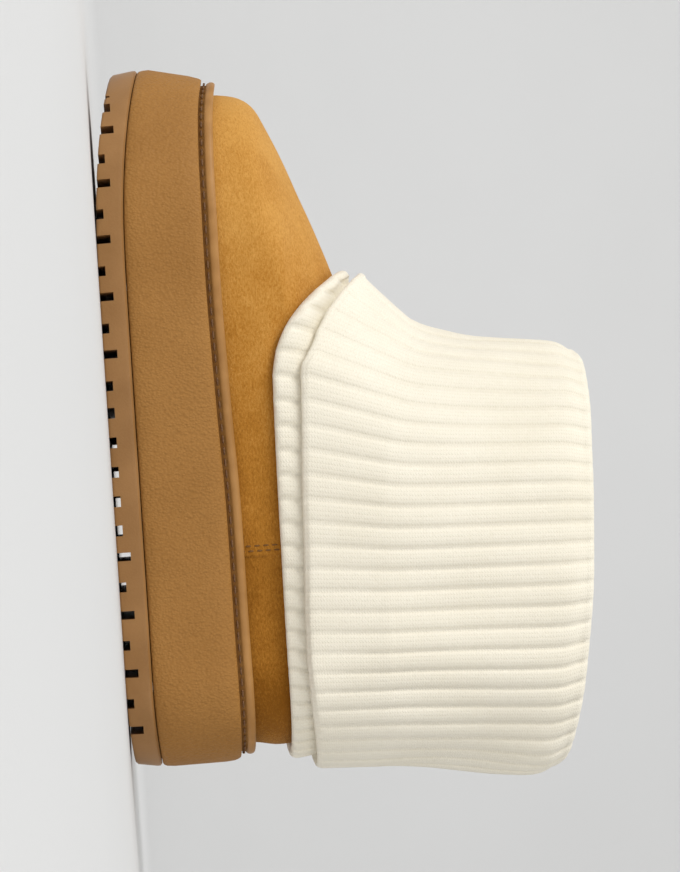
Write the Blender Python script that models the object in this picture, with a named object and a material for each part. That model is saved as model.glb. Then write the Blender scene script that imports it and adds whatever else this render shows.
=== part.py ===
"""Left ankle boot: moulded platform sole, low suede upper and a ribbed knit shaft turned down into a cuff.

Metres, +Z up, +X to the toe, +Y to the wearer's left, which is the outer side of this left boot.
The boot stands on its tread at z = 0, and the origin is at the bottom centre of its box.
"""
import math
from collections import namedtuple

import bmesh
import bpy
from mathutils import Vector

# Sole
SOLE_LENGTH = 0.2635
BALL_WIDTH = 0.102
TOE_SPRING = 0.0098
TOE_SPRING_POWER = 2.3
HEEL_SPRING = 0.002
TOE_LEAN = 0.004
TOE_OFFSET = 0.003
OUTSOLE_THICKNESS = 0.0096
OUTSOLE_INSET = 0.0006
OUTSOLE_EDGE = 0.0008
TREAD_DRAFT = 0.0012
PLATFORM_HEIGHT = 0.041
FOOT_ROUND = 0.0014
TOP_ROUND = 0.0026
CLEARANCE = 0.0003

# Tread
TREAD_DEPTH = 0.0049
SHALLOW_DEPTH = 0.0026
GROOVE_WIDTH = 0.0030
SHALLOW_WIDTH = 0.0035
FOREFOOT_PITCH = 0.0204
FOREFOOT_GROOVES = 5
FOREFOOT_FIRST = 0.1027
HEEL_PITCH = 0.0210
HEEL_GROOVES = 4
HEEL_FIRST = -0.0513
FOREFOOT_SPLIT = 0.55
HEEL_SPLIT = 0.52
NARROW_LUG = 0.0060
WAIST_LUGS = 4
WAIST_LUG_LENGTH = 0.0067
WAIST_LUG_WIDTH = 0.0080

# Welt
WELT_HEIGHT = 0.0054
WELT_INSET = 0.0022
WELT_WIDTH = 0.0033
BEAD_HEIGHT = 0.0034
BEAD_OVERHANG = 0.0010

# Upper and insole
UPPER_CLEARANCE = 0.0007
UPPER_WALL = 0.0024
SEAM_LAP = 0.0008
SEAM_X = -0.055
VAMP_LENGTH = 0.0865
INSTEP_HEIGHT = 0.0542
COLLAR_HEIGHT = 0.0325
COLLAR_WIDTH = 0.073
COLLAR_FRONT_ARC = 0.055
COLLAR_BACK_ARC = 0.033
HEEL_BULGE = 0.0020
INSOLE_THICKNESS = 0.0050
INSOLE_DRAFT = 0.0013

# Knit shaft and its turned-down cuff
KNIT_CLEARANCE = 0.0007
SHAFT_HEIGHT = 0.174
SHAFT_LENGTH = 0.166
SHAFT_WIDTH = 0.088
SHAFT_BACK_X = -0.144
SHAFT_TILT = 0.0065
LAYER_THICKNESS = 0.0034
BAND_THICKNESS = 0.0042
BAND_EDGE_HEIGHT = 0.0205
BAND_FRONT_RISE = 0.026
BAND_CLIMB_LENGTH = 0.041
BAND_CLIMB_OVERLAP = 0.010
BAND_CLIMB_POWER = 2.2
BAND_LAP_RUN = 0.020
CUFF_STEP = 0.0090
CUFF_FLARE = 0.0032
CREASE_DEPTH = 0.0025
RIBS = 44
RIB_DEPTH = 0.0014

# Mesh fineness
SOLE_COLUMNS = 72
VAMP_COLUMNS = 20
HEEL_COLUMNS = 12
ARC_SAMPLES = 720
SLOPE_STEP = 0.01

# Half widths of the sole as shares of half the ball width, by share of the length from the heel.
Outline = namedtuple("Outline", "along lateral medial")
OUTLINE = (
    Outline(0.00, 0.745, 0.790),
    Outline(0.15, 0.745, 0.790),
    Outline(0.25, 0.765, 0.775),
    Outline(0.35, 0.795, 0.715),
    Outline(0.42, 0.830, 0.690),
    Outline(0.48, 0.870, 0.735),
    Outline(0.54, 0.920, 0.825),
    Outline(0.61, 0.960, 0.940),
    Outline(0.69, 0.980, 1.010),
    Outline(0.77, 0.985, 1.020),
    Outline(1.00, 0.980, 1.020),
)
# Shares of the length too: the two round ends, and where the springs of toe and heel begin.
TOE_ARC = 0.25
HEEL_ARC = 0.14
TOE_SPRING_FROM = 0.67
HEEL_SPRING_TO = 0.13

# Height of the platform's top edge as a share of the platform height.
Deck = namedtuple("Deck", "along height")
DECK = (
    Deck(0.00, 1.000),
    Deck(0.20, 0.985),
    Deck(0.37, 0.980),
    Deck(0.50, 0.950),
    Deck(0.65, 0.925),
    Deck(0.78, 0.930),
    Deck(0.86, 0.945),
    Deck(0.93, 0.985),
    Deck(1.00, 1.080),
)

# Rings of the upper from the welt (0) to the collar (1). Setback of the front point is a share of the
# vamp length, its rise of the instep height, side of the collar height, bulge of the heel bulge, and
# narrow goes from the sole's width (0) to the collar's (1).
Ring = namedtuple("Ring", "up setback rise side bulge narrow")
UPPER_RINGS = (
    Ring(0.0, 0.000, 0.000, 0.000, 0.00, 0.00),
    Ring(0.1, 0.004, 0.150, 0.215, 0.40, 0.04),
    Ring(0.2, 0.023, 0.290, 0.415, 1.00, 0.13),
    Ring(0.3, 0.070, 0.400, 0.585, 1.00, 0.27),
    Ring(0.4, 0.156, 0.487, 0.690, 0.95, 0.42),
    Ring(0.5, 0.283, 0.587, 0.785, 0.90, 0.55),
    Ring(0.6, 0.434, 0.686, 0.845, 0.85, 0.66),
    Ring(0.7, 0.595, 0.784, 0.890, 0.80, 0.76),
    Ring(0.8, 0.757, 0.875, 0.930, 0.75, 0.85),
    Ring(0.9, 0.896, 0.945, 0.970, 0.70, 0.93),
    Ring(1.0, 1.000, 1.000, 1.000, 0.65, 1.00),
)
FRONT_RISE_POWER = 3.5

# Levels of the cuff's outside from just above its hem (0) to the top fold (1). Side, front and back
# heights are shares of the shaft height, reach is how far the front point stands before that of the rim
# and inside how far the heel side stays inside it, as shares of the shaft length, width is a share of
# the shaft width, and the two arcs are the round ends as shares of the level's own length.
Level = namedtuple("Level", "level side front back reach inside width front_arc back_arc")
CUFF_LEVELS = (
    Level(0.00, 0.470, 0.606, 0.455, 0.126, 0.022, 1.060, 0.36, 0.24),
    Level(0.17, 0.560, 0.678, 0.540, 0.064, 0.018, 1.062, 0.41, 0.29),
    Level(0.33, 0.655, 0.753, 0.635, 0.032, 0.013, 1.052, 0.45, 0.35),
    Level(0.50, 0.760, 0.830, 0.735, 0.012, 0.008, 1.035, 0.48, 0.41),
    Level(0.67, 0.860, 0.910, 0.830, -0.002, 0.004, 1.015, 0.50, 0.46),
    Level(0.83, 0.935, 0.962, 0.910, -0.012, 0.006, 0.985, 0.50, 0.49),
    Level(1.00, 0.980, 0.992, 0.965, -0.038, 0.022, 0.930, 0.50, 0.50),
)


def value(table, column, at):
    """Smooth value of one column of a table at a share of its first column."""
    keys = [row[0] for row in table]
    heights = [getattr(row, column) for row in table]
    at = min(max(at, keys[0]), keys[-1])
    i = max(k for k in range(len(keys) - 1) if keys[k] <= at)

    def slope(k):
        low, high = max(k - 1, 0), min(k + 1, len(keys) - 1)
        return (heights[high] - heights[low]) / (keys[high] - keys[low])

    span = keys[i + 1] - keys[i]
    t = (at - keys[i]) / span
    return (
        (1 + 2 * t) * (1 - t) ** 2 * heights[i]
        + t * (1 - t) ** 2 * span * slope(i)
        + t * t * (3 - 2 * t) * heights[i + 1]
        - t * t * (1 - t) * span * slope(i + 1)
    )


def mix(a, b, share):
    return a + (b - a) * share


def along(x):
    """Share of the sole's length from the heel."""
    return x / SOLE_LENGTH + 0.5


def floor_gap(x):
    """Height of the tread's lower face over the floor, with the springs of toe and heel."""
    toe = max(0.0, (along(x) - TOE_SPRING_FROM) / (1 - TOE_SPRING_FROM))
    heel = max(0.0, (HEEL_SPRING_TO - along(x)) / HEEL_SPRING_TO)
    return TOE_SPRING * toe**TOE_SPRING_POWER + HEEL_SPRING * heel**2


def deck(x):
    """Height of the platform's top face."""
    return PLATFORM_HEIGHT * value(DECK, "height", along(x))


def round_end(x, back, front, back_arc, front_arc):
    """Factor on a half width that rounds the two ends of a loop."""
    ahead = max(0.0, (x - (front - front_arc)) / front_arc)
    behind = max(0.0, (back + back_arc - x) / back_arc)
    return math.sqrt(max(0.0, 1 - ahead**2)) * math.sqrt(max(0.0, 1 - behind**2))


def loop_point(angle, back, front, half_width, back_arc, front_arc, offset=0.0):
    """Plan point of a long loop: angle 0 at the front point, pi at the back one, lateral side first.
    Columns at a quarter turn stand at the side seam, and offset moves the front point sideways."""
    reach = math.cos(angle)
    x = SEAM_X + reach * (front - SEAM_X if reach > 0 else SEAM_X - back)
    side = "lateral" if math.sin(angle) >= 0 else "medial"
    out = 1 if side == "lateral" else -1
    centre = offset * max(0.0, (x - (front - front_arc)) / front_arc)
    half = half_width(x, side) - out * centre
    return Vector((x, centre + out * half * round_end(x, back, front, back_arc, front_arc), 0.0))


def sole_half(x, side):
    return BALL_WIDTH / 2 * value(OUTLINE, side, along(x))


def sole_point(angle, inset, height, lean=0.0):
    """Point on the sole's outline moved in by inset, with height as a function of x.
    The wall leans back at the toe: lean is 0 at its foot and 1 at its top."""
    end = SOLE_LENGTH / 2 - inset
    setback = TOE_LEAN * lean
    point = loop_point(
        angle,
        -end,
        end - setback,
        lambda x, side: sole_half(x, side) - inset,
        HEEL_ARC * SOLE_LENGTH - inset,
        TOE_ARC * SOLE_LENGTH - inset - setback,
        TOE_OFFSET,
    )
    point.z = height(point.x)
    return point


def even_angles(point_at, count):
    """Angles that space count points evenly along a loop, from its front point."""
    angles = [math.tau * k / ARC_SAMPLES for k in range(ARC_SAMPLES + 1)]
    points = [point_at(a) for a in angles]
    run = [0.0]
    for before, after in zip(points, points[1:]):
        run.append(run[-1] + (after - before).length)
    found, k = [], 0
    for step in range(count):
        target = run[-1] * step / count
        while run[k + 1] < target:
            k += 1
        share = (target - run[k]) / (run[k + 1] - run[k])
        found.append(mix(angles[k], angles[k + 1], share))
    return found


# Building meshes


def material(name, colour, roughness):
    made = bpy.data.materials.new(name)
    made.use_nodes = True
    shader = made.node_tree.nodes["Principled BSDF"]
    shader.inputs["Base Color"].default_value = (*colour, 1.0)
    shader.inputs["Roughness"].default_value = roughness
    shader.inputs["Metallic"].default_value = 0.0
    return made


def finish(bm, name, look, smooth_below=40.0):
    """Turns a bmesh into a named object, faces outwards, smooth where it bends gently."""
    bmesh.ops.recalc_face_normals(bm, faces=bm.faces)
    mesh = bpy.data.meshes.new(name)
    bm.to_mesh(mesh)
    bm.free()
    mesh.shade_smooth()
    mesh.set_sharp_from_angle(angle=math.radians(smooth_below))
    mesh.materials.append(look)
    made = bpy.data.objects.new(name, mesh)
    bpy.context.scene.collection.objects.link(made)
    return made


def ladder_cap(bm, ring):
    """Closes a ring with rungs that join each lateral point to the medial one across from it."""
    count = len(ring)
    for k in range(count // 2):
        rung = [ring[k], ring[k + 1], ring[-k - 1], ring[-k % count]]
        corners = []
        for vert in rung:
            if vert not in corners:
                corners.append(vert)
        bm.faces.new(corners)


def loft(rings, closed):
    """Skins rings of equal count: closed joins the last ring to the first, otherwise both are capped."""
    bm = bmesh.new()
    column = bm.verts.layers.int.new("column")
    start = bmesh.ops.create_circle(bm, segments=len(rings[0]), radius=1.0)["verts"]
    for k, vert in enumerate(start):
        vert[column] = k
        vert.co = rings[0][k]
    edges, last = list(bm.edges), start
    first_edges = list(edges)
    for ring in rings[1:]:
        made = bmesh.ops.extrude_edge_only(bm, edges=edges)["geom"]
        edges = [g for g in made if isinstance(g, bmesh.types.BMEdge)]
        last = [g for g in made if isinstance(g, bmesh.types.BMVert)]
        edges = [e for e in edges if all(v in last for v in e.verts)]
        for vert in last:
            vert.co = ring[vert[column]]
    if closed:
        bmesh.ops.bridge_loops(bm, edges=first_edges + edges)
    else:
        ladder_cap(bm, sorted(start, key=lambda v: v[column]))
        ladder_cap(bm, sorted(last, key=lambda v: v[column]))
    return bm


def sole_angles():
    return [math.tau * k / SOLE_COLUMNS for k in range(SOLE_COLUMNS)]


def sole_loft(rows):
    """Solid between rows of (inset, height function, lean) on the sole's outline."""
    return loft([[sole_point(a, *row) for a in sole_angles()] for row in rows], False)


def over(base, amount):
    """Height function: base plus a constant."""
    return lambda x: base(x) + amount


# Outsole and its tread


def cutter(name, bm):
    made = finish(bm, name, bpy.data.materials["sole_rubber"])
    made.hide_render = True
    made.display_type = "WIRE"
    return made


def box(bm, x, width, half_span, low, high):
    corners = bmesh.ops.create_cube(bm, size=1.0)["verts"]
    bmesh.ops.scale(bm, vec=(width, 2 * half_span, high - low), verts=corners)
    bmesh.ops.translate(bm, vec=(x, 0.0, (low + high) / 2), verts=corners)


def forefoot_grooves():
    return [FOREFOOT_FIRST - k * FOREFOOT_PITCH for k in range(FOREFOOT_GROOVES)]


def heel_grooves():
    return [HEEL_FIRST - k * HEEL_PITCH for k in range(HEEL_GROOVES)]


def groove_cutter(name, places, width, depth):
    """Bars across the tread, each as deep as asked at its place."""
    bm = bmesh.new()
    for x in places:
        box(bm, x, width, BALL_WIDTH, -BALL_WIDTH / 4, floor_gap(x) + depth)
    return cutter(name, bm)


def waist_span():
    """Front and back ends of the low waist of the tread, between the narrow lugs beside it."""
    front = FOREFOOT_FIRST - FOREFOOT_GROOVES * FOREFOOT_PITCH + GROOVE_WIDTH / 2
    back = HEEL_FIRST + GROOVE_WIDTH / 2 + NARROW_LUG
    return front, back


def waist_cutter():
    """Comb outline that leaves a row of small lugs along each side of the waist."""
    front, back = waist_span()
    gap = (front - back - WAIST_LUGS * WAIST_LUG_LENGTH) / (WAIST_LUGS + 1)
    edge = []
    x = front
    for k in range(WAIST_LUGS + 1):
        edge += [(x, True), (x - gap, True)]
        x -= gap
        if k < WAIST_LUGS:
            edge += [(x, False), (x - WAIST_LUG_LENGTH, False)]
            x -= WAIST_LUG_LENGTH
    loop = []
    for side, sign, run in (("lateral", 1, edge), ("medial", -1, edge[::-1])):
        for x, opens in run:
            y = BALL_WIDTH if opens else sole_half(x, side) - WAIST_LUG_WIDTH
            loop.append((x, sign * y, -BALL_WIDTH / 4))
    bm = bmesh.new()
    face = bm.faces.new([bm.verts.new(p) for p in loop])
    grown = bmesh.ops.extrude_face_region(bm, geom=[face])["geom"]
    top = [g for g in grown if isinstance(g, bmesh.types.BMVert)]
    bmesh.ops.translate(bm, vec=(0, 0, BALL_WIDTH / 4 + SHALLOW_DEPTH), verts=top)
    return cutter("waist_cutter", bm)


def outsole(look):
    """Tread rubber: its lugs lean in towards the floor, and its upper edge is broken."""
    top = OUTSOLE_THICKNESS
    body = finish(
        sole_loft(
            [
                (OUTSOLE_INSET + TREAD_DRAFT + OUTSOLE_EDGE, floor_gap, 0.0),
                (OUTSOLE_INSET + TREAD_DRAFT, over(floor_gap, OUTSOLE_EDGE), 0.0),
                (OUTSOLE_INSET, over(floor_gap, top - TREAD_DRAFT - OUTSOLE_EDGE), 0.0),
                (OUTSOLE_INSET, over(floor_gap, top - OUTSOLE_EDGE), 0.0),
                (OUTSOLE_INSET + OUTSOLE_EDGE, over(floor_gap, top), 0.0),
            ]
        ),
        "outsole",
        look,
    )
    shallow = [x - FOREFOOT_PITCH * FOREFOOT_SPLIT for x in [FOREFOOT_FIRST + FOREFOOT_PITCH, *forefoot_grooves()]]
    shallow += [x - HEEL_PITCH * HEEL_SPLIT for x in heel_grooves()[:-1]]
    cuts = (
        groove_cutter("deep_grooves", forefoot_grooves() + heel_grooves(), GROOVE_WIDTH, TREAD_DEPTH),
        groove_cutter("shallow_grooves", shallow, SHALLOW_WIDTH, SHALLOW_DEPTH),
        waist_cutter(),
    )
    for cut in cuts:
        boolean = body.modifiers.new(cut.name, "BOOLEAN")
        boolean.operation = "DIFFERENCE"
        boolean.object = cut
    return body, cuts


def platform(look):
    """Platform midsole: grained wall between the outsole and the welt, with a solid core."""
    seat = over(floor_gap, OUTSOLE_THICKNESS + CLEARANCE)
    return finish(
        sole_loft(
            [
                (FOOT_ROUND, seat, 0.0),
                (FOOT_ROUND / 4, over(seat, FOOT_ROUND), 0.1),
                (0.0, lambda x: mix(seat(x), deck(x), 0.5), 0.5),
                (TOP_ROUND / 8, over(deck, -TOP_ROUND), 0.9),
                (TOP_ROUND * 0.4, over(deck, -TOP_ROUND / 4), 1.0),
                (TOP_ROUND * 0.8, deck, 1.0),
            ]
        ),
        "platform",
        look,
    )


def welt(look):
    """Stitching strip with a round bead on top, as one ring round the foot of the upper."""
    bead, over_strip = BEAD_HEIGHT, BEAD_OVERHANG
    low = WELT_HEIGHT - bead
    rows = (
        (WELT_INSET + over_strip, CLEARANCE),
        (WELT_INSET + over_strip, low),
        (WELT_INSET + over_strip * 0.3, low + 0.12 * bead),
        (WELT_INSET, low + 0.42 * bead),
        (WELT_INSET + over_strip * 0.3, low + 0.72 * bead),
        (WELT_INSET + over_strip, WELT_HEIGHT),
        (WELT_INSET + WELT_WIDTH - over_strip, WELT_HEIGHT),
        (WELT_INSET + WELT_WIDTH, low + 0.70 * bead),
        (WELT_INSET + WELT_WIDTH, CLEARANCE),
    )
    rings = [[sole_point(a, inset, over(deck, rise), 1.0) for a in sole_angles()] for inset, rise in rows]
    return finish(loft(rings, True), "welt", look)


# Upper


def upper_inset():
    """Distance from the sole's outline to the foot of the upper, with room for the vamp's lap."""
    return WELT_INSET + WELT_WIDTH + UPPER_CLEARANCE + SEAM_LAP


def upper_point(up, angle, run=SEAM_LAP):
    """Outer surface of the upper: up from the welt (0) to the collar (1), angle as in loop_point.
    The vamp laps over the heel panel at the seam, with its full lift where run ends."""
    foot = SOLE_LENGTH / 2 - upper_inset()
    front = foot - TOE_LEAN - VAMP_LENGTH * value(UPPER_RINGS, "setback", up)
    back = -foot - HEEL_BULGE * value(UPPER_RINGS, "bulge", up)
    narrow = value(UPPER_RINGS, "narrow", up)

    def lapped(x, side):
        share = min(max((x - SEAM_X - SEAM_LAP) / run + 1, 0.0), 1.0)
        half = mix(sole_half(x, side) - upper_inset(), COLLAR_WIDTH / 2, narrow)
        return half + SEAM_LAP * share * value(UPPER_RINGS, "side", 1 - up)

    point = loop_point(
        angle,
        back,
        front,
        lapped,
        mix(HEEL_ARC * SOLE_LENGTH - upper_inset(), COLLAR_BACK_ARC, narrow),
        mix(TOE_ARC * SOLE_LENGTH - upper_inset() - TOE_LEAN, COLLAR_FRONT_ARC, narrow),
        mix(TOE_OFFSET, 0.0, narrow),
    )
    ahead = max(0.0, (point.x - back) / (front - back) * 2 - 1)
    side = COLLAR_HEIGHT * value(UPPER_RINGS, "side", up)
    front_rise = INSTEP_HEIGHT * value(UPPER_RINGS, "rise", up)
    base = mix(deck(point.x), deck(0.0), narrow)
    point.z = base + CLEARANCE + mix(side, front_rise, ahead**FRONT_RISE_POWER)
    return point


def upper_frame(up, angle, run=SEAM_LAP):
    """Point of the upper's outer surface with its outward normal and its upward direction."""
    step = SLOPE_STEP
    low, high = max(up - step, 0.0), min(up + step, 1.0)
    climb = upper_point(high, angle, run) - upper_point(low, angle, run)
    around = upper_point(up, angle + step, run) - upper_point(up, angle - step, run)
    normal = around.cross(climb).normalized()
    return upper_point(up, angle, run), normal, normal.cross(around).normalized()


def upper_angles():
    """Columns of the upper, with a close pair at each seam where the vamp laps over the heel panel."""
    reach = SOLE_LENGTH / 2 - upper_inset() - SEAM_X
    lap = SEAM_LAP / reach
    front = [math.pi / 2 * k / VAMP_COLUMNS for k in range(VAMP_COLUMNS)]
    back = [math.pi / 2 * (1 + k / HEEL_COLUMNS) for k in range(HEEL_COLUMNS + 1)]
    half = front + [math.pi / 2 - lap] + back
    return half + [math.tau - a for a in reversed(half[1:-1])]


def upper(look):
    angles = upper_angles()
    outer = [ring.up for ring in UPPER_RINGS]
    inner = outer[::-2]
    rings = [[upper_point(up, a) for a in angles] for up in outer]
    for up in inner:
        ring = []
        for a in angles:
            point, normal, _ = upper_frame(up, a)
            level = Vector((normal.x, normal.y, 0.0)).normalized() if up == 0.0 else normal
            ring.append(point - level * UPPER_WALL)
        rings.append(ring)
    return finish(loft(rings, True), "upper", look)


def insole(look):
    """Footbed inside the upper, crowned a little at its edge."""
    edge = upper_inset() + UPPER_WALL + CLEARANCE
    return finish(
        sole_loft(
            [
                (edge, over(deck, CLEARANCE), 1.0),
                (edge + INSOLE_DRAFT, over(deck, CLEARANCE + INSOLE_THICKNESS * 0.8), 1.0),
                (edge + 2 * INSOLE_DRAFT, over(deck, CLEARANCE + INSOLE_THICKNESS), 1.0),
            ]
        ),
        "insole",
        look,
    )


# Knit shaft


def cuff_point(level, angle):
    """Outer surface of the cuff without ribs: level 0 just over the hem to 1 under the top fold."""
    read = {name: value(CUFF_LEVELS, name, level) for name in Level._fields[1:]}
    back = SHAFT_BACK_X + SHAFT_LENGTH * read["inside"]
    front = SHAFT_BACK_X + SHAFT_LENGTH * (1 + read["reach"])
    length = front - back
    point = loop_point(
        angle,
        back,
        front,
        lambda x, side: SHAFT_WIDTH / 2 * read["width"],
        length * read["back_arc"],
        length * read["front_arc"],
    )
    share = (point.x - back) / length * 2 - 1
    end = read["front"] if share > 0 else read["back"]
    point.z = SHAFT_HEIGHT * mix(read["side"], end, share**2) + SHAFT_TILT * share * level
    return point


def rib_lift(column):
    """Every other column stands out by half the depth of a rib, and the next one in by as much."""
    return RIB_DEPTH / 2 * (1 if column % 2 == 0 else -1)


def cuff_ring(level, inset, rise=0.0, ribs=0.0):
    """Ring of the cuff with evenly spaced columns, moved in by inset, with its share of the ribs."""
    ring = []
    for k, a in enumerate(even_angles(lambda a: cuff_point(level, a), 2 * RIBS)):
        around = cuff_point(level, a + SLOPE_STEP) - cuff_point(level, a - SLOPE_STEP)
        out = Vector((around.y, -around.x, 0.0)).normalized()
        ring.append(cuff_point(level, a) + out * (ribs * rib_lift(k) - inset) + Vector((0, 0, rise)))
    return ring


def edge_height(x, base):
    """Height of a hem line of the knit: level round the foot, climbing over the instep."""
    end = SOLE_LENGTH / 2 - upper_inset() - VAMP_LENGTH + BAND_CLIMB_OVERLAP
    climb = max(0.0, (x - end) / BAND_CLIMB_LENGTH + 1)
    return deck(0.0) + base + BAND_FRONT_RISE * climb**BAND_CLIMB_POWER


def edge_share(angle, base):
    """How far up the upper a hem line crosses a column."""
    low, high = 0.0, 1.0
    for _ in range(24):
        mid = (low + high) / 2
        point = upper_point(mid, angle, BAND_LAP_RUN)
        if point.z < edge_height(point.x, base):
            low = mid
        else:
            high = mid
    return low


def band_ring(angles, base, out, climb, ribs=0.0, upto=0.0, flare=0.0):
    """Ring over the upper: out from its surface and climb along it, from a hem line or nearer the collar.
    The flare lifts it further off over the instep."""
    ring = []
    for k, a in enumerate(angles):
        share = mix(edge_share(a, base), 1.0, upto)
        point, normal, climbing = upper_frame(share, a, BAND_LAP_RUN)
        lift = flare * max(0.0, math.cos(a)) ** 3
        ring.append(point + normal * (out + ribs * rib_lift(k) + lift) + climbing * climb)
    return ring


def knit_shaft(look):
    """One knitted tube: from its seat on the collar up the leg, over the top fold and down as the cuff,
    then in to the band that shows below the cuff and rolls over the edge of the suede."""
    angles = even_angles(lambda a: cuff_point(0.0, a), 2 * RIBS)
    wall = 2 * LAYER_THICKNESS
    fold = wall / 2
    levels = [row.level for row in CUFF_LEVELS]
    rings = [band_ring(angles, 0.0, -UPPER_WALL, KNIT_CLEARANCE, upto=1.0)]
    rings += [cuff_ring(level, wall) for level in levels]
    for turn in (135, 90, 45):
        across, rise = math.cos(math.radians(turn)), math.sin(math.radians(turn))
        rings.append(cuff_ring(1.0, fold - across * fold, rise * fold, ribs=0.5 * rise))
    rings += [cuff_ring(level, 0.0, ribs=1.0) for level in reversed(levels)]
    hem = BAND_EDGE_HEIGHT + CUFF_STEP
    band = KNIT_CLEARANCE + BAND_THICKNESS
    rings += [
        band_ring(angles, hem, band + LAYER_THICKNESS, LAYER_THICKNESS, ribs=1.0, flare=CUFF_FLARE),
        band_ring(angles, hem, band + 0.85 * LAYER_THICKNESS, 0.25 * LAYER_THICKNESS, 0.7, flare=CUFF_FLARE),
        band_ring(angles, hem, band + 0.5 * LAYER_THICKNESS, 0.0, ribs=0.4, flare=CUFF_FLARE),
        band_ring(angles, hem, band + 0.15 * LAYER_THICKNESS, 0.25 * LAYER_THICKNESS, ribs=0.3),
        band_ring(angles, hem, band, CREASE_DEPTH),
        band_ring(angles, hem, band - 0.10 * BAND_THICKNESS, 0.0, ribs=0.5),
    ]
    low = BAND_EDGE_HEIGHT
    rings += [
        band_ring(angles, low, band, 0.6 * BAND_THICKNESS, ribs=0.7),
        band_ring(angles, low, band - 0.15 * BAND_THICKNESS, 0.15 * BAND_THICKNESS, ribs=0.5),
        band_ring(angles, low, band - 0.5 * BAND_THICKNESS, 0.0, ribs=0.3),
        band_ring(angles, low, KNIT_CLEARANCE, 0.25 * BAND_THICKNESS),
        band_ring(angles, low, KNIT_CLEARANCE, 0.0, upto=0.5),
        band_ring(angles, low, KNIT_CLEARANCE, KNIT_CLEARANCE, upto=1.0),
    ]
    return finish(loft(rings, True), "knit_shaft", look)


def centre_on_floor(parts, cuts):
    """Hangs everything on one empty and shifts that so the origin is at the box's bottom centre."""
    corners = [v.co for part in parts for v in part.data.vertices]
    low = Vector([min(c[i] for c in corners) for i in range(3)])
    high = Vector([max(c[i] for c in corners) for i in range(3)])
    root = bpy.data.objects.new("boot", None)
    bpy.context.scene.collection.objects.link(root)
    root.location = (-(low.x + high.x) / 2, -(low.y + high.y) / 2, -low.z)
    for piece in (*parts, *cuts):
        piece.parent = root


def main():
    for old in list(bpy.data.objects):
        bpy.data.objects.remove(old)
    rubber = material("sole_rubber", (0.40, 0.22, 0.09), 0.55)
    grained = material("platform_grain", (0.36, 0.20, 0.08), 0.5)
    trim = material("welt_trim", (0.42, 0.23, 0.10), 0.5)
    suede = material("tan_suede", (0.50, 0.26, 0.06), 0.9)
    lining = material("footbed_lining", (0.62, 0.50, 0.36), 0.9)
    knit = material("cream_knit", (0.82, 0.79, 0.68), 0.9)
    tread, cuts = outsole(rubber)
    parts = [tread, platform(grained), welt(trim), upper(suede), insole(lining), knit_shaft(knit)]
    centre_on_floor(parts, cuts)


main()
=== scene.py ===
import math

import bmesh
import bpy
import numpy as np
from mathutils import Matrix, Vector


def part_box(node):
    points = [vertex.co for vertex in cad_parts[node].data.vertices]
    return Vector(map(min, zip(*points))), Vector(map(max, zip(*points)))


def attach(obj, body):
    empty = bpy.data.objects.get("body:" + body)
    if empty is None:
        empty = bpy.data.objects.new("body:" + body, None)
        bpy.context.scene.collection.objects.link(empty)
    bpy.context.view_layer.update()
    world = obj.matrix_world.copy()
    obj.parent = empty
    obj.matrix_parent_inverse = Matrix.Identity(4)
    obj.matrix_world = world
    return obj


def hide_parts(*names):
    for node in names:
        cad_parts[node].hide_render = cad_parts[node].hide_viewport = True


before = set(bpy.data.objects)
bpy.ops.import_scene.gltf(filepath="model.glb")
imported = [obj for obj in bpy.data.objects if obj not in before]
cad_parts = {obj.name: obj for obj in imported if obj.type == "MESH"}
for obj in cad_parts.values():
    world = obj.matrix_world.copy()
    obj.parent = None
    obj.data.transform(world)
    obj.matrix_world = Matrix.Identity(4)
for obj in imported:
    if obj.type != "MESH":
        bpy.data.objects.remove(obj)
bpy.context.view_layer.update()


# shader sockets that add, multiply and so on, and one method for every other node

class Sock:
    def __init__(self, look, socket):
        self.look = look
        self.socket = socket

    def math(self, operation, *others):
        return self.look.node("ShaderNodeMath", {"operation": operation}, (self, *others))

    def __add__(self, other):
        return self.math("ADD", other)

    def __radd__(self, other):
        return self.math("ADD", other)

    def __sub__(self, other):
        return self.math("SUBTRACT", other)

    def __rsub__(self, other):
        return self.math("MULTIPLY_ADD", -1.0, other)

    def __mul__(self, other):
        return self.math("MULTIPLY", other)

    def __rmul__(self, other):
        return self.math("MULTIPLY", other)

    def __pow__(self, other):
        return self.math("POWER", other)


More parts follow.
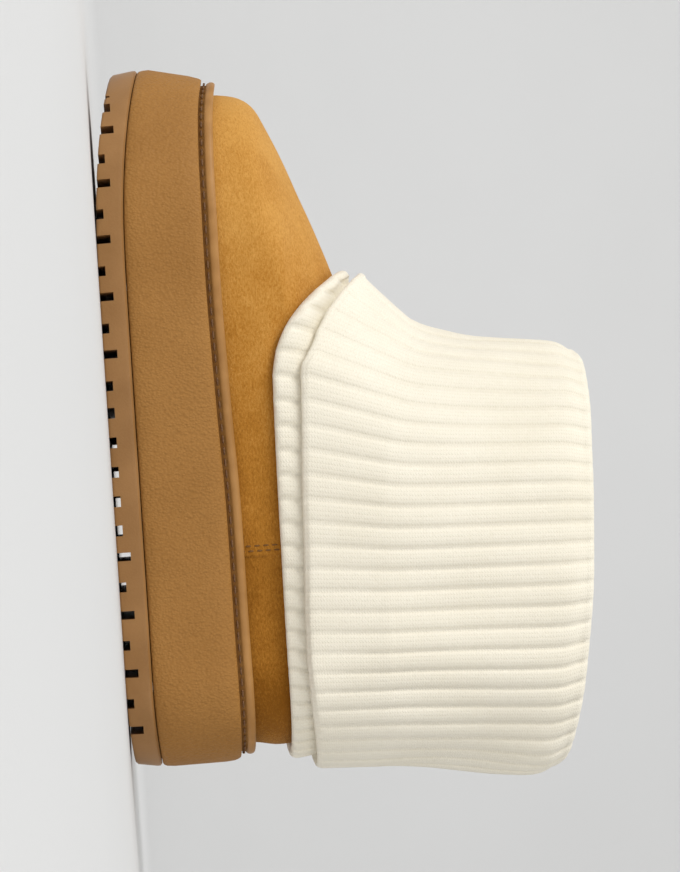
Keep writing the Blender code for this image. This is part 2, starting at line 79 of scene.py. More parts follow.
class Look:
    def __init__(self, name, **fixed):
        self.made = bpy.data.materials.new(name)
        self.made.use_nodes = True
        self.tree = self.made.node_tree
        self.shader = self.tree.nodes["Principled BSDF"]
        for socket, setting in fixed.items():
            self.shader.inputs[socket.replace("_", " ")].default_value = setting

    def node(self, kind, settings=None, inputs=(), out=0):
        made = self.tree.nodes.new(kind)
        for key, setting in (settings or {}).items():
            if key == "stops":
                for place, colour in setting[2:]:
                    made.color_ramp.elements.new(place)
                for element, (place, colour) in zip(made.color_ramp.elements, setting):
                    element.position = place
                    element.color = (*colour, 1.0)
            else:
                setattr(made, key, setting)
        pairs = inputs.items() if isinstance(inputs, dict) else enumerate(inputs)
        for key, given in pairs:
            if isinstance(given, Sock):
                self.tree.links.new(given.socket, made.inputs[key])
            else:
                made.inputs[key].default_value = given
        return Sock(self, made.outputs[out])

    def place(self):
        return self.node("ShaderNodeTexCoord", out="Object")

    def uv(self):
        return self.node("ShaderNodeTexCoord", out="UV")

    def axis(self, vector, name):
        return self.node("ShaderNodeSeparateXYZ", {}, [vector], name)

    def stretch(self, vector, scale):
        return self.node("ShaderNodeMapping", {}, {"Vector": vector, "Scale": scale})

    def noise(self, vector, scale, detail=3.0, roughness=0.5):
        return self.node("ShaderNodeTexNoise", {}, {"Vector": vector, "Scale": scale, "Detail": detail,
                                                    "Roughness": roughness})

    def cells(self, vector, scale):
        return self.node("ShaderNodeTexVoronoi", {"feature": "SMOOTH_F1"},
                         {"Vector": vector, "Scale": scale, "Smoothness": 0.6}, "Distance")

    def ramp(self, value, *stops):
        return self.node("ShaderNodeValToRGB", {"stops": stops}, [value])

    def finish(self, colour, roughness, height, depth, strength):
        bump = self.node("ShaderNodeBump", {}, {"Height": height, "Distance": depth, "Strength": strength})
        for name, given in (("Base Color", colour), ("Roughness", roughness), ("Normal", bump)):
            if isinstance(given, Sock):
                self.tree.links.new(given.socket, self.shader.inputs[name])
            else:
                self.shader.inputs[name].default_value = given
        return self.made


# curves and tables

def mix(a, b, share):
    return a + (b - a) * share


def curveValue(table, column, at):
    # smooth value of a table's column at a share in its first column
    keys = [row[0] for row in table]
    heights = [row[column] for row in table]
    at = min(max(at, keys[0]), keys[-1])
    i = max(k for k in range(len(keys) - 1) if keys[k] <= at)

    def slope(k):
        low, high = max(k - 1, 0), min(k + 1, len(keys) - 1)
        return (heights[high] - heights[low]) / (keys[high] - keys[low])

    span = keys[i + 1] - keys[i]
    t = (at - keys[i]) / span
    return ((1 + 2 * t) * (1 - t) ** 2 * heights[i] + t * (1 - t) ** 2 * span * slope(i)
            + t * t * (3 - 2 * t) * heights[i + 1] - t * t * (1 - t) * span * slope(i + 1))


def sampled(function, low, high, count=700):
    # reads a smooth function from even samples, which is much quicker
    step = (high - low) / (count - 1)
    samples = [function(low + k * step) for k in range(count)]

    def read(at):
        place = min(max((at - low) / step, 0.0), count - 1.001)
        k = int(place)
        return mix(samples[k], samples[k + 1], place - k)

    return read


def evenAngles(pointAt, count, samples=1440):
    # angles that space points evenly along a loop, from its front point
    angles = [math.tau * k / samples for k in range(samples + 1)]
    points = np.array([pointAt(a) for a in angles])
    run = np.concatenate([[0.0], np.cumsum(np.linalg.norm(np.diff(points, axis=0), axis=1))])
    return [float(a) for a in np.interp(np.arange(count) / count * run[-1], run, angles)]


def guidedAngles(pointAt, guide, samples=720):
    # angles that keep the x of a guide ring's columns; each end's difference is taken up near that end
    angles = np.linspace(0.0, math.tau, samples + 1)
    at = np.array([pointAt(a).x for a in angles])
    low, high, half, middle = at.min(), at.max(), samples // 2, len(guide) // 2
    share = (guide - guide.min()) / np.ptp(guide)
    wanted = guide + (low - guide.min()) * (1 - share) ** 3 + (high - guide.max()) * share ** 3

    def turn(x):
        return np.arccos(np.clip(1 - 2 * (x - low) / (high - low), -1.0, 1.0))

    lateral = np.interp(turn(wanted[:middle + 1]), turn(at[half::-1]), angles[half::-1])
    medial = np.interp(turn(wanted[middle + 1:]), turn(at[half:]), angles[half:])
    return [float(a) for a in (*lateral, *medial)]


# the sole's plan and levels, in metres with x = 0 at its middle

sole = {
    "length": 0.2635, "ball": 0.102, "seam": -0.055, "gap": 0.0003,
    "thickness": 0.0096, "platform": 0.041,
    "toeSpring": 0.0098, "toeSpringFrom": 0.67, "toeSpringPower": 2.3,
    "heelSpring": 0.002, "heelSpringTo": 0.13,
    # the toe's setback at the top, its shift to the inner side, and the round ends as shares of the length
    "toeLean": 0.004, "toeOffset": 0.003, "toeArc": 0.25, "heelArc": 0.14,
    # share of the length, lateral and medial half widths as shares of half the ball width
    "outline": ((0.00, 0.745, 0.790), (0.15, 0.745, 0.790), (0.25, 0.765, 0.775), (0.35, 0.795, 0.715),
                (0.42, 0.830, 0.690), (0.48, 0.870, 0.735), (0.54, 0.920, 0.825), (0.61, 0.960, 0.940),
                (0.69, 0.980, 1.010), (0.77, 0.985, 1.020), (1.00, 0.980, 1.020)),
    # share of the length, height of the platform's top as a share of its height
    "deck": ((0.00, 1.000), (0.20, 0.985), (0.37, 0.980), (0.50, 0.950), (0.65, 0.925), (0.78, 0.930),
             (0.86, 0.945), (0.93, 0.985), (1.00, 1.080)),
}
halfLength = sole["length"] / 2


def along(x):
    return x / sole["length"] + 0.5


halfWidth = {side: sampled(lambda x, c=column: sole["ball"] / 2 * curveValue(sole["outline"], c, along(x)),
                           -halfLength, halfLength) for column, side in ((1, "lateral"), (2, "medial"))}
deck = sampled(lambda x: sole["platform"] * curveValue(sole["deck"], 1, along(x)), -halfLength, halfLength)


def floorGap(x):
    toe = max(0.0, (along(x) - sole["toeSpringFrom"]) / (1 - sole["toeSpringFrom"]))
    heel = max(0.0, (sole["heelSpringTo"] - along(x)) / sole["heelSpringTo"])
    return sole["toeSpring"] * toe ** sole["toeSpringPower"] + sole["heelSpring"] * heel ** 2


def roundEnds(x, back, front, backArc, frontArc):
    ahead = max(0.0, (x - (front - frontArc)) / frontArc)
    behind = max(0.0, (back + backArc - x) / backArc)
    return math.sqrt(max(0.0, 1 - ahead ** 2)) * math.sqrt(max(0.0, 1 - behind ** 2))


def loopPoint(angle, back, front, halfAt, backArc, frontArc, offset=0.0):
    # angle 0 is the front point, a quarter turn is the side seam, half a turn the back
    reach = math.cos(angle)
    x = sole["seam"] + reach * (front - sole["seam"] if reach > 0 else sole["seam"] - back)
    side, out = ("lateral", 1) if math.sin(angle) >= 0 else ("medial", -1)
    centre = offset * max(0.0, (x - (front - frontArc)) / frontArc)
    half = halfAt(x, side) - out * centre
    return Vector((x, centre + out * half * roundEnds(x, back, front, backArc, frontArc), 0.0))


def solePoint(angle, inset, height, lean=1.0):
    end = halfLength - inset
    setback = sole["toeLean"] * lean
    point = loopPoint(angle, -end, end - setback, lambda x, side: halfWidth[side](x) - inset,
                      sole["heelArc"] * sole["length"] - inset,
                      sole["toeArc"] * sole["length"] - inset - setback, sole["toeOffset"])
    point.z = height(point.x)
    return point


def over(base, amount):
    return lambda x: base(x) + amount


def frameShift():
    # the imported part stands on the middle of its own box, so the platform says how far the plan moves
    loop = [solePoint(math.tau * k / 720, 0.0, deck, 0.5) for k in range(720)]
    low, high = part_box("platform")
    middle = (min(p.y for p in loop) + max(p.y for p in loop)) / 2
    return Vector((low.x + halfLength, (low.y + high.y) / 2 - middle, 0.0))


shift = frameShift()
print("plan ready, moved by", [round(1000 * s, 2) for s in shift], "mm")


# meshes

def makeObject(bm, name, look):
    bmesh.ops.recalc_face_normals(bm, faces=bm.faces)
    mesh = bpy.data.meshes.new(name)
    bm.to_mesh(mesh)
    bm.free()
    mesh.shade_smooth()
    mesh.materials.append(look)
    made = bpy.data.objects.new(name, mesh)
    bpy.context.scene.collection.objects.link(made)
    return made


def settle(piece, slot, *nodes):
    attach(piece, "root")
    if nodes:
        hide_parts(*nodes)


def newVerts(geom):
    return [g for g in geom if isinstance(g, bmesh.types.BMVert)]


def ladderCap(bm, ring):
    # closes a ring with rungs from each lateral point to the medial one across from it
    for k in range(len(ring) // 2):
        corners = []
        for vert in (ring[k], ring[k + 1], ring[-k - 1], ring[-k % len(ring)]):
            if vert not in corners:
                corners.append(vert)
        bm.faces.new(corners)


def skin(rings, closed):
    # extrudes a circle of edges from ring to ring; the UV map has shares of a turn along u, metres along v
    bm = bmesh.new()
    count = len(rings[0])
    column = bm.verts.layers.int.new("column")
    row = bm.verts.layers.int.new("row")
    last = bmesh.ops.create_circle(bm, segments=count, radius=1.0)["verts"]
    for k, vert in enumerate(last):
        vert[column] = k
        vert.co = Vector(rings[0][k]) + shift
    first, firstEdges, edges = last, list(bm.edges), list(bm.edges)
    for r, ring in enumerate(rings[1:], 1):
        made = bmesh.ops.extrude_edge_only(bm, edges=edges)["geom"]
        last = newVerts(made)
        fresh = set(last)
        edges = [g for g in made if isinstance(g, bmesh.types.BMEdge) and fresh.issuperset(g.verts)]
        for vert in last:
            vert[row] = r
            vert.co = Vector(ring[vert[column]]) + shift
    if closed:
        bmesh.ops.bridge_loops(bm, edges=firstEdges + edges)
    else:
        ladderCap(bm, sorted(first, key=lambda v: v[column]))
        ladderCap(bm, sorted(last, key=lambda v: v[column]))
    points = np.array([[tuple(p) for p in ring] for ring in rings + [rings[0]]])
    height = np.concatenate([[0.0], np.cumsum(np.linalg.norm(np.diff(points, axis=0), axis=2).mean(1))])
    uv = bm.loops.layers.uv.new("UVMap")
    for face in bm.faces:
        columns = [v[column] for v in face.verts]
        rows = [v[row] for v in face.verts]
        wraps = max(columns) - min(columns) > count / 2
        closes = closed and max(rows) - min(rows) > len(rings) / 2
        for corner, k, r in zip(face.loops, columns, rows):
            turn = (k + count if wraps and k < count / 2 else k) / count
            corner[uv].uv = (turn, height[len(rings) if closes and r == 0 else r])
    return bm


def smoothRows(rings, steps):
    # a smooth curve through the rings, column by column, with this many steps after each ring
    keys = np.array([[tuple(p) for p in ring] for ring in rings])
    gaps = np.maximum(np.linalg.norm(np.diff(keys, axis=0), axis=2).mean(1), 1e-6) ** 0.5
    knots = np.concatenate([[0.0], np.cumsum(gaps)])
    fine = []
    for i in range(len(keys) - 1):
        before, after = max(i - 1, 0), min(i + 2, len(keys) - 1)
        leave = (keys[i + 1] - keys[before]) / (knots[i + 1] - knots[before])
        arrive = (keys[after] - keys[i]) / (knots[after] - knots[i])
        span = knots[i + 1] - knots[i]
        for step in range(steps[i]):
            t = step / steps[i]
            fine.append((1 + 2 * t) * (1 - t) ** 2 * keys[i] + t * (1 - t) ** 2 * span * leave
                        + t * t * (3 - 2 * t) * keys[i + 1] - t * t * (1 - t) * span * arrive)
    return fine + [keys[-1]]


# outsole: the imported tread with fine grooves, slots, a blank frame and worn edges

tread = {
    "frontFirst": 0.1027, "frontPitch": 0.0204, "frontLug": 0.00446, "frontCount": 6,
    "heelFirst": -0.0513, "heelPitch": 0.0210, "heelLug": 0.0049, "heelCount": 4,
    "fineWidth": 0.0010, "fineDepth": 0.0010, "margin": 0.008,
    # each slot: x, y, length, width
    "slots": ((0.1165, 0.0272, 0.0066, 0.0020), (-0.1229, 0.0159, 0.0060, 0.0019)), "slotDepth": 0.0018,
    # blank frame: x, y, width, length
    "frame": (-0.0185, 0.0026, 0.0176, 0.0380), "frameLine": 0.0006, "frameDepth": 0.0005,
    "waistDepth": 0.0026,
    # width of a worn edge, and in degrees what counts as an edge and as flat
    "edge": 0.00035, "edgeAngle": 40.0, "flat": 1.2,
}


def soleLook():
    look = Look("soleRubber", Specular_IOR_Level=0.45)
    place = look.place()
    cloudy = look.noise(place, 60.0, 4.0)
    fine = look.noise(place, 1400.0, 2.0)
    colour = look.ramp(cloudy * 0.8 + fine * 0.2,
                       (0.3, (0.270, 0.128, 0.034)), (0.7, (0.345, 0.172, 0.054)))
    return look.finish(colour, 0.40 + cloudy * 0.18, fine, 0.00012, 0.5)


def cutBar(bm, middle, size):
    verts = bmesh.ops.create_cube(bm, size=1.0)["verts"]
    bmesh.ops.scale(bm, vec=size, verts=verts)
    bmesh.ops.translate(bm, vec=Vector(middle) + shift, verts=verts)


def makeOutsole():
    look = soleLook()
    bm = bmesh.new()
    bm.from_mesh(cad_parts["outsole"].data)
    bmesh.ops.remove_doubles(bm, verts=bm.verts, dist=1e-6)
    body = makeObject(bm, "treadedOutsole", look)
    tall = sole["thickness"]
    cuts, frameSides, frameEnds = bmesh.new(), bmesh.new(), bmesh.new()
    # a fine groove along the middle of each narrow lug
    lugs = [tread["frontFirst"] - k * tread["frontPitch"] + tread["frontLug"]
            for k in range(tread["frontCount"])]
    lugs += [tread["heelFirst"] - k * tread["heelPitch"] + tread["heelLug"]
             for k in range(tread["heelCount"])]
    for x in lugs:
        ends = roundEnds(x, -halfLength, halfLength,
                         sole["heelArc"] * sole["length"], sole["toeArc"] * sole["length"])
        outer, inner = (ends * halfWidth[side](x) - tread["margin"] for side in ("lateral", "medial"))
        cutBar(cuts, (x, (outer - inner) / 2, floorGap(x) + tread["fineDepth"] - tall / 2),
               (tread["fineWidth"], outer + inner, tall))
    # one oval slot in the toe lug and one in the heel lug
    for x, y, long, wide in tread["slots"]:
        oval = bmesh.ops.create_cone(cuts, segments=20, radius1=0.5, radius2=0.5, depth=tall,
                                     cap_ends=True)["verts"]
        middle = Vector((x, y, floorGap(x) + tread["slotDepth"] - tall / 2))
        bmesh.ops.scale(cuts, vec=(wide, long, 1.0), verts=oval)
        bmesh.ops.translate(cuts, vec=middle + shift, verts=oval)
    # the frame on the waist, with nothing in it
    x, y, wide, long = tread["frame"]
    line = tread["frameLine"]
    z = tread["waistDepth"] + tread["frameDepth"] - tall / 2
    for side in (-0.5, 0.5):
        cutBar(frameSides, (x + side * wide, y, z), (line, long, tall))
        cutBar(frameEnds, (x, y + side * long, z), (wide + line, line, tall))
    for name, cutter in (("fineCuts", cuts), ("frameSides", frameSides), ("frameEnds", frameEnds)):
        boolean = body.modifiers.new(name, "BOOLEAN")
        boolean.operation = "DIFFERENCE"
        boolean.object = makeObject(cutter, name, look)
    cut = bmesh.new()
    cut.from_mesh(body.evaluated_get(bpy.context.evaluated_depsgraph_get()).to_mesh())
    for boolean in body.modifiers:
        bpy.data.objects.remove(boolean.object)
    body.modifiers.clear()
    bmesh.ops.remove_doubles(cut, verts=cut.verts, dist=1e-6)
    bmesh.ops.dissolve_limit(cut, angle_limit=math.radians(tread["flat"]), verts=cut.verts, edges=cut.edges)
    # every edge is worn but the frame's thin lines
    middle = Vector((x, y, 0.0)) + shift
    worn = [e for e in cut.edges if e.is_manifold and e.calc_face_angle() > math.radians(tread["edgeAngle"])
            and not all(abs(v.co.x - middle.x) < wide and abs(v.co.y - middle.y) < long for v in e.verts)]
    bmesh.ops.bevel(cut, geom=worn, offset=tread["edge"], offset_type="OFFSET", segments=2, profile=0.5,
                    affect="EDGES", clamp_overlap=True, material=-1)
    cut.to_mesh(body.data)
    cut.free()
    body.data.shade_smooth()
    body.data.set_sharp_from_angle(angle=math.radians(tread["edgeAngle"]))
    even = body.modifiers.new("evenNormals", "WEIGHTED_NORMAL")
    even.keep_sharp = True
    settle(body, "sole_rubber", "outsole")


# platform: one smooth moulded wall with a pebbled grain and a rounded lip

platform = {
    "columns": 360, "foot": 0.0014, "top": 0.0026, "lip": 0.0021, "cement": 0.0040, "cementGap": 0.00008,
    # rounded foot: shares of its radius in and up, and of the wall's lean
    "footCurve": ((1.0, 0.0, 0.0), (0.55, 0.3, 0.05), (0.2, 1.0, 0.1)),
    "wallRows": (0.12, 0.3, 0.5, 0.7, 0.88), "plan": 0.5,
    # rounded lip: shares of its width in and of its height down
    "lipCurve": ((0.12, 1.0), (0.26, 0.55), (0.42, 0.25), (0.60, 0.04), (0.80, 0.0), (1.00, 0.08)),
}


def grainLook():
    look = Look("platformGrain", Specular_IOR_Level=0.25)
    place = look.place()
    pebbles = look.cells(look.stretch(place, (1.0, 1.0, 0.8)), 1250.0)
    wander = look.noise(place, 700.0, 3.0)
    cloudy = look.noise(place, 26.0, 3.0)
    height = pebbles * -0.9 + wander * 0.7
    colour = look.ramp(height * 0.35 + cloudy * 0.65,
                       (0.10, (0.290, 0.130, 0.026)), (0.45, (0.360, 0.170, 0.040)))
    return look.finish(colour, 0.58 + wander * 0.14, height, 0.00034, 0.9)


def makePlatform():
    seat = over(floorGap, sole["thickness"] + sole["gap"])
    foot, top, lip = platform["foot"], platform["top"], platform["lip"]
    glued = over(seat, platform["cementGap"] - sole["gap"])
    # the cemented middle reaches down to the tread and leaves a dark line at the edge
    cement = platform["cement"]
    rows = [(cement, glued, 0.0), (cement - foot / 2, glued, 0.0), (2 * foot, seat, 0.0)]
    rows += [(inward * foot, over(seat, up * foot), lean) for inward, up, lean in platform["footCurve"]]
    for share in platform["wallRows"]:
        rows.append((0.0, lambda x, s=share: mix(seat(x) + foot, deck(x) - top, s), share))
    rows += [(inward * lip, over(deck, -down * top), 1.0) for inward, down in platform["lipCurve"]]
    angles = evenAngles(lambda a: solePoint(a, 0.0, deck, platform["plan"]), platform["columns"])
    bm = skin([[solePoint(a, *row) for a in angles] for row in rows], False)
    settle(makeObject(bm, "platformWall", grainLook()), "platform_grain", "platform")


# welt: bead and stitching strip, with the stitches in their channel

welt = {
    "seat": 0.00006, "height": 0.0054, "inset": 0.0022, "width": 0.0033, "bead": 0.0034, "overhang": 0.0012,
    "columns": 360,
    "stitchPitch": 0.0042, "stitchLong": 0.0033, "stitchThick": 0.00085,
    "stitchInset": 0.0027, "stitchRise": 0.0012,
}


def trimLook():
    look = Look("weltTrim", Specular_IOR_Level=0.3)
    place = look.place()
    cloudy = look.noise(place, 120.0, 3.0)
    fine = look.noise(place, 1500.0, 2.0)
    colour = look.ramp(cloudy, (0.3, (0.330, 0.155, 0.040)), (0.7, (0.420, 0.210, 0.062)))
    return look.finish(colour, 0.46 + fine * 0.1, fine, 0.0001, 0.5)


def threadLook(name, dark, light):
    look = Look(name, Specular_IOR_Level=0.3)
    twist = look.noise(look.stretch(look.place(), (3.0, 1.0, 1.0)), 1800.0, 2.0)
    return look.finish(look.ramp(twist, (0.3, dark), (0.7, light)), 0.7, twist, 0.0002, 0.6)


def addStitch(bm, middle, ahead, out, long, thick):
    verts = bmesh.ops.create_uvsphere(bm, u_segments=8, v_segments=6, radius=0.5)["verts"]
    bmesh.ops.scale(bm, vec=(long, thick, 0.8 * thick), verts=verts)
    turn = Matrix((ahead, out.cross(ahead).normalized(), out)).transposed().to_4x4()
    bmesh.ops.transform(bm, matrix=Matrix.Translation(middle + shift) @ turn, verts=verts)


def makeWelt():
    bead, low, overhang = welt["bead"], welt["height"] - welt["bead"], welt["overhang"]
    inner = welt["inset"] + welt["width"]
    rows = [(welt["inset"] + overhang, welt["seat"]), (welt["inset"] + overhang, low)]
    for degrees in range(-72, 91, 18):
        turn = math.radians(degrees)
        rows.append((welt["inset"] + overhang * (1 - math.cos(turn)), low + bead / 2 * (1 + math.sin(turn))))
    rows += [(inner - overhang, welt["height"]), (inner - overhang / 4, welt["height"] - overhang / 4),
             (inner, low + 0.6 * bead), (inner, welt["seat"])]
    angles = evenAngles(lambda a: solePoint(a, welt["inset"], deck), welt["columns"])
    bm = skin([[solePoint(a, inset, over(deck, rise)) for a in angles] for inset, rise in rows], True)
    settle(makeObject(bm, "weltBead", trimLook()), "welt_trim", "welt")


def makeWeltStitches():
    def seat(a):
        return solePoint(a, welt["stitchInset"], over(deck, welt["stitchRise"]))

    length = sum((seat(math.tau * k / 400) - seat(math.tau * (k + 1) / 400)).length for k in range(400))
    bm = bmesh.new()
    for a in evenAngles(seat, round(length / welt["stitchPitch"])):
        ahead = (seat(a + 0.004) - seat(a - 0.004)).normalized()
        out = Vector((ahead.y, -ahead.x, 0.0)).normalized()
        addStitch(bm, seat(a), ahead, out, welt["stitchLong"], welt["stitchThick"])
    thread = threadLook("weltThread", (0.070, 0.030, 0.010), (0.240, 0.120, 0.050))
    settle(makeObject(bm, "weltStitches", thread), "welt_trim")


# upper: vamp lapped over the heel panel, with soft creases where the foot bends

upper = {
    "wall": 0.0024, "gap": 0.0007, "lap": 0.0008, "vamp": 0.0865, "instep": 0.0542, "collar": 0.0325,
    "collarWidth": 0.073, "frontArc": 0.055, "backArc": 0.033, "bulge": 0.0020, "frontPower": 3.5,
    # share up from welt to collar, then shares of setback, rise, side height, heel bulge and narrowing
    "rings": ((0.0, 0.000, 0.000, 0.000, 0.00, 0.00), (0.1, 0.004, 0.150, 0.215, 0.40, 0.04),
              (0.2, 0.023, 0.290, 0.415, 1.00, 0.13), (0.3, 0.070, 0.400, 0.585, 1.00, 0.27),
              (0.4, 0.156, 0.487, 0.690, 0.95, 0.42), (0.5, 0.283, 0.587, 0.785, 0.90, 0.55),
              (0.6, 0.434, 0.686, 0.845, 0.85, 0.66), (0.7, 0.595, 0.784, 0.890, 0.80, 0.76),
              (0.8, 0.757, 0.875, 0.930, 0.75, 0.85), (0.9, 0.896, 0.945, 0.970, 0.70, 0.93),
              (1.0, 1.000, 1.000, 1.000, 0.65, 1.00)),
    # columns spread evenly at a share up the wall
    "columns": 260, "columnsAt": 0.3, "rows": 36,
    # each crease: share up, degrees round from the toe, its reach up and round, its height, inward below 0
    "creases": ((0.62, 24.0, 0.05, 16.0, -0.0006), (0.70, 40.0, 0.05, 12.0, 0.0004),
                (0.48, 58.0, 0.07, 7.0, -0.0004), (0.60, -30.0, 0.05, 15.0, -0.0006),
                (0.45, -62.0, 0.07, 8.0, -0.0004), (0.30, 120.0, 0.10, 8.0, -0.0004),
                (0.35, -128.0, 0.10, 9.0, -0.0004), (0.25, 80.0, 0.12, 7.0, 0.0003)),
    "stitchPitch": 0.0030, "stitchLong": 0.0022, "stitchThick": 0.0007, "stitchRows": (0.0017, 0.0036),
    "stitchFoot": 0.02, "stitchStagger": 0.035, "stitchTop": 0.62, "stitchStep": 0.004, "stitchLift": 0.0001,
}
upperInset = welt["inset"] + welt["width"] + upper["gap"] + upper["lap"]
setback, rise, sideRise, bulge, narrowing = (
    sampled(lambda up, c=column: curveValue(upper["rings"], c, up), 0.0, 1.0) for column in range(1, 6))


def upperPoint(up, angle, run=upper["lap"]):
    foot = halfLength - upperInset
    front = foot - sole["toeLean"] - upper["vamp"] * setback(up)
    back = -foot - upper["bulge"] * bulge(up)
    narrow = narrowing(up)

    def lapped(x, side):
        share = min(max((x - sole["seam"] - upper["lap"]) / run + 1, 0.0), 1.0)
        half = mix(halfWidth[side](x) - upperInset, upper["collarWidth"] / 2, narrow)
        return half + upper["lap"] * share * sideRise(1 - up)

    point = loopPoint(angle, back, front, lapped,
                      mix(sole["heelArc"] * sole["length"] - upperInset, upper["backArc"], narrow),
                      mix(sole["toeArc"] * sole["length"] - upperInset - sole["toeLean"],
                          upper["frontArc"], narrow),
                      mix(sole["toeOffset"], 0.0, narrow))
    ahead = max(0.0, (point.x - back) / (front - back) * 2 - 1)
    lifted = mix(upper["collar"] * sideRise(up), upper["instep"] * rise(up), ahead ** upper["frontPower"])
    point.z = mix(deck(point.x), deck(0.0), narrow) + sole["gap"] + lifted
    return point


def upperFrame(up, angle, run=upper["lap"], step=0.01):
    # a point of the outside, its outward normal and its way up
    climb = upperPoint(min(up + step, 1.0), angle, run) - upperPoint(max(up - step, 0.0), angle, run)
    around = upperPoint(up, angle + step, run) - upperPoint(up, angle - step, run)
    normal = around.cross(climb).normalized()
    return upperPoint(up, angle, run), normal, normal.cross(around).normalized()


def creaseDepth(up, angle):
    turn = math.degrees(angle)
    turn = turn - 360 if turn > 180 else turn
    return sum(depth * math.exp(-((up - upAt) / high) ** 2 - ((turn - turnAt) / wide) ** 2)
               for upAt, turnAt, high, wide, depth in upper["creases"])


def suedeLook():
    look = Look("tanSuede", Specular_IOR_Level=0.12, Sheen_Weight=0.25, Sheen_Roughness=0.45,
                Sheen_Tint=(1.0, 0.72, 0.36, 1.0))
    place = look.place()
    patches = look.noise(place, 48.0, 5.0, 0.6)
    nap = look.noise(look.stretch(place, (1.0, 1.0, 2.0)), 800.0, 4.0, 0.7)
    hairs = look.noise(place, 2400.0, 2.0, 0.6)
    # painted shade and painted light: the suede's colour runs darker toward the heel and lighter toward the
    # toe, standing in for the shadow under the cuff and the light from the toe side
    paintedHeelShadeToeLight = look.axis(place, "X") * 1.9
    tone = patches * 0.40 + nap * 0.65 + hairs * 0.20 + paintedHeelShadeToeLight - 0.125
    colour = look.ramp(tone, (0.26, (0.235, 0.085, 0.006)), (0.50, (0.430, 0.180, 0.024)),
                       (0.76, (0.610, 0.310, 0.072)))
    return look.finish(colour, 0.95, nap * 0.6 + hairs * 0.4, 0.0006, 0.9)


def upperColumns():
    # even columns, and a close set where the vamp laps over the heel panel
    step = upper["lap"] / (halfLength - upperInset - sole["seam"])
    close = [math.pi / 2 + k * step / 2 for k in (-3, -2, -1, 0, 1)]
    close += [math.tau - a for a in close]
    even = evenAngles(lambda a: upperPoint(upper["columnsAt"], a), upper["columns"])
    kept = sorted(close + [a for a in even if min(abs(a - c) for c in close) > step * 0.6])
    return kept if len(kept) % 2 == 0 else kept[:-1]


def makeUpper():
    angles = upperColumns()
    rings = []
    for r in range(upper["rows"] + 1):
        up = r / upper["rows"]
        ring = []
        for a in angles:
            point, normal = upperFrame(up, a)[:2]
            ring.append(point + normal * creaseDepth(up, a))
        rings.append(ring)
    for r in range(upper["rows"], -1, -3):
        up = r / upper["rows"]
        ring = []
        for a in angles:
            point, normal = upperFrame(up, a)[:2]
            inward = Vector((normal.x, normal.y, 0.0)).normalized() if up == 0.0 else normal
            ring.append(point - inward * upper["wall"])
        rings.append(ring)
    settle(makeObject(skin(rings, True), "suedeUpper", suedeLook()), "tan_suede", "upper")


def makeSeamStitches():
    bm = bmesh.new()
    reach = halfLength - upperInset - sole["seam"]
    for side in (1, -1):
        for n, ahead in enumerate(upper["stitchRows"]):
            angle = side * (math.pi / 2 - (upper["lap"] + ahead) / reach)
            seat, up = None, upper["stitchFoot"] + upper["stitchStagger"] * n
            while up < upper["stitchTop"]:
                point, normal, climb = upperFrame(up, angle)
                if seat is None or (point - seat).length >= upper["stitchPitch"]:
                    addStitch(bm, point + normal * upper["stitchLift"], climb, normal,
                              upper["stitchLong"], upper["stitchThick"])
                    seat = point
                up += upper["stitchStep"]
    thread = threadLook("seamThread", (0.100, 0.040, 0.008), (0.270, 0.125, 0.030))
    settle(makeObject(bm, "seamStitches", thread), "tan_suede")


# footbed

footbed = {
    "thick": 0.0050, "draft": 0.0013, "columns": 240,
    # rounded edge: shares of the draft in and of the thickness up
    "edgeCurve": ((0.0, 0.0), (0.5, 0.4), (1.0, 0.8), (1.4, 0.95), (2.6, 1.0)),
}


def footbedLook():
    look = Look("footbedLining", Specular_IOR_Level=0.1, Sheen_Weight=0.3)
    place = look.place()
    pile = look.noise(place, 1300.0, 4.0, 0.7)
    cloudy = look.noise(place, 80.0, 3.0)
    colour = look.ramp(pile * 0.6 + cloudy * 0.4, (0.3, (0.46, 0.35, 0.22)), (0.7, (0.66, 0.54, 0.38)))
    return look.finish(colour, 0.95, pile, 0.0008, 0.8)


def makeFootbed():
    edge = upperInset + upper["wall"] + sole["gap"]
    rows = [(edge + inward * footbed["draft"], sole["gap"] + lift * footbed["thick"])
            for inward, lift in footbed["edgeCurve"]]
    angles = evenAngles(lambda a: solePoint(a, edge, deck), footbed["columns"])
    bm = skin([[solePoint(a, inset, over(deck, lift)) for a in angles] for inset, lift in rows], False)
    settle(makeObject(bm, "footbed", footbedLook()), "footbed_lining", "insole")


# knit: one ribbed tube, up inside, over the top fold, down as the cuff and in to the rolled band

